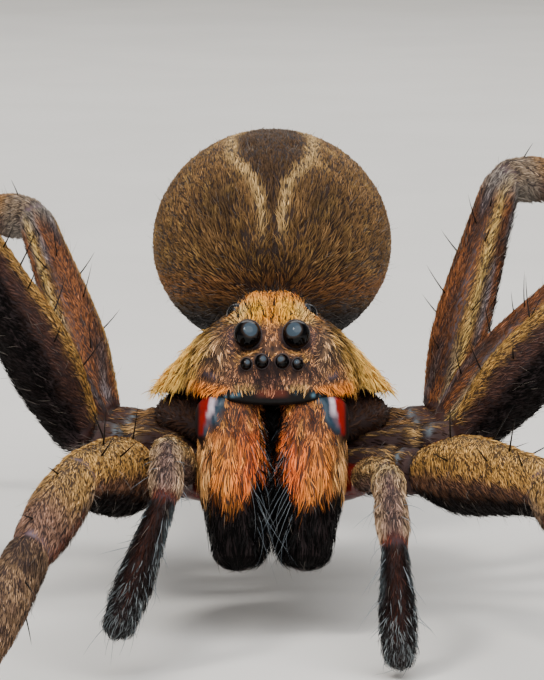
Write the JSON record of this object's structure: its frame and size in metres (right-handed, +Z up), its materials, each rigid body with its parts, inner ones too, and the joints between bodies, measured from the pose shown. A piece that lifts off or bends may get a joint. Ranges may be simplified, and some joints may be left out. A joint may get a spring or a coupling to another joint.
{
  "type": "wolf spider model",
  "caption": "Life-size female wolf spider standing on all its legs, with large front eyes, hairy chelicerae, palps hanging almost to the ground and an egg-shaped abdomen.",
  "frame": {"origin": "on the ground, under the middle of the animal's box", "axes": "+Z up, the head faces -Y, and +X is the animal's own left"},
  "size_m": [0.054, 0.064, 0.0182],
  "materials": {
    "head_coat": "short silky hair",
    "abdomen_coat": "velvety short hair",
    "underside_coat": "black velvety hair",
    "chelicera_coat": "combed hair in locks",
    "leg_coat": "velvety short hair",
    "foot_coat": "dense brush of short hair",
    "mouth_shell": "glossy shell",
    "eyes": "polished",
    "fangs": "polished",
    "membrane": "smooth and matte"
  },
  "bodies": {
    "root": {"eye_posterior_median_left": "eyes", "eye_anterior_median_left": "eyes", "eye_anterior_lateral_left": "eyes", "eye_posterior_lateral_left": "eyes", "eye_posterior_median_right": "eyes", "eye_anterior_median_right": "eyes", "eye_anterior_lateral_right": "eyes", "eye_posterior_lateral_right": "eyes", "carapace": "head_coat", "abdomen": "abdomen_coat", "sternum": "underside_coat", "pedicel": "membrane", "spinnerets": "foot_coat", "chelicera_left": "chelicera_coat", "fang_left": "fangs", "chelicera_right": "chelicera_coat", "fang_right": "fangs", "labium": "mouth_shell", "endite_left": "mouth_shell", "endite_right": "mouth_shell", "leg_1_left_coxa": "leg_coat", "leg_1_left_femur": "leg_coat", "leg_1_left_tibia": "leg_coat", "leg_1_left_foot": "foot_coat", "leg_1_right_coxa": "leg_coat", "leg_1_right_femur": "leg_coat", "leg_1_right_tibia": "leg_coat", "leg_1_right_foot": "foot_coat", "leg_2_left_coxa": "leg_coat", "leg_2_left_femur": "leg_coat", "leg_2_left_tibia": "leg_coat", "leg_2_left_foot": "foot_coat", "leg_2_right_coxa": "leg_coat", "leg_2_right_femur": "leg_coat", "leg_2_right_tibia": "leg_coat", "leg_2_right_foot": "foot_coat", "leg_3_left_coxa": "leg_coat", "leg_3_left_femur": "leg_coat", "leg_3_left_tibia": "leg_coat", "leg_3_left_foot": "foot_coat", "leg_3_right_coxa": "leg_coat", "leg_3_right_femur": "leg_coat", "leg_3_right_tibia": "leg_coat", "leg_3_right_foot": "foot_coat", "leg_4_left_coxa": "leg_coat", "leg_4_left_femur": "leg_coat", "leg_4_left_tibia": "leg_coat", "leg_4_left_foot": "foot_coat", "leg_4_right_coxa": "leg_coat", "leg_4_right_femur": "leg_coat", "leg_4_right_tibia": "leg_coat", "leg_4_right_foot": "foot_coat", "palp_left_femur": "foot_coat", "palp_left_tibia": "foot_coat", "palp_left_tarsus": "foot_coat", "palp_right_femur": "foot_coat", "palp_right_tibia": "foot_coat", "palp_right_tarsus": "foot_coat"}
  },
  "joints": []
}
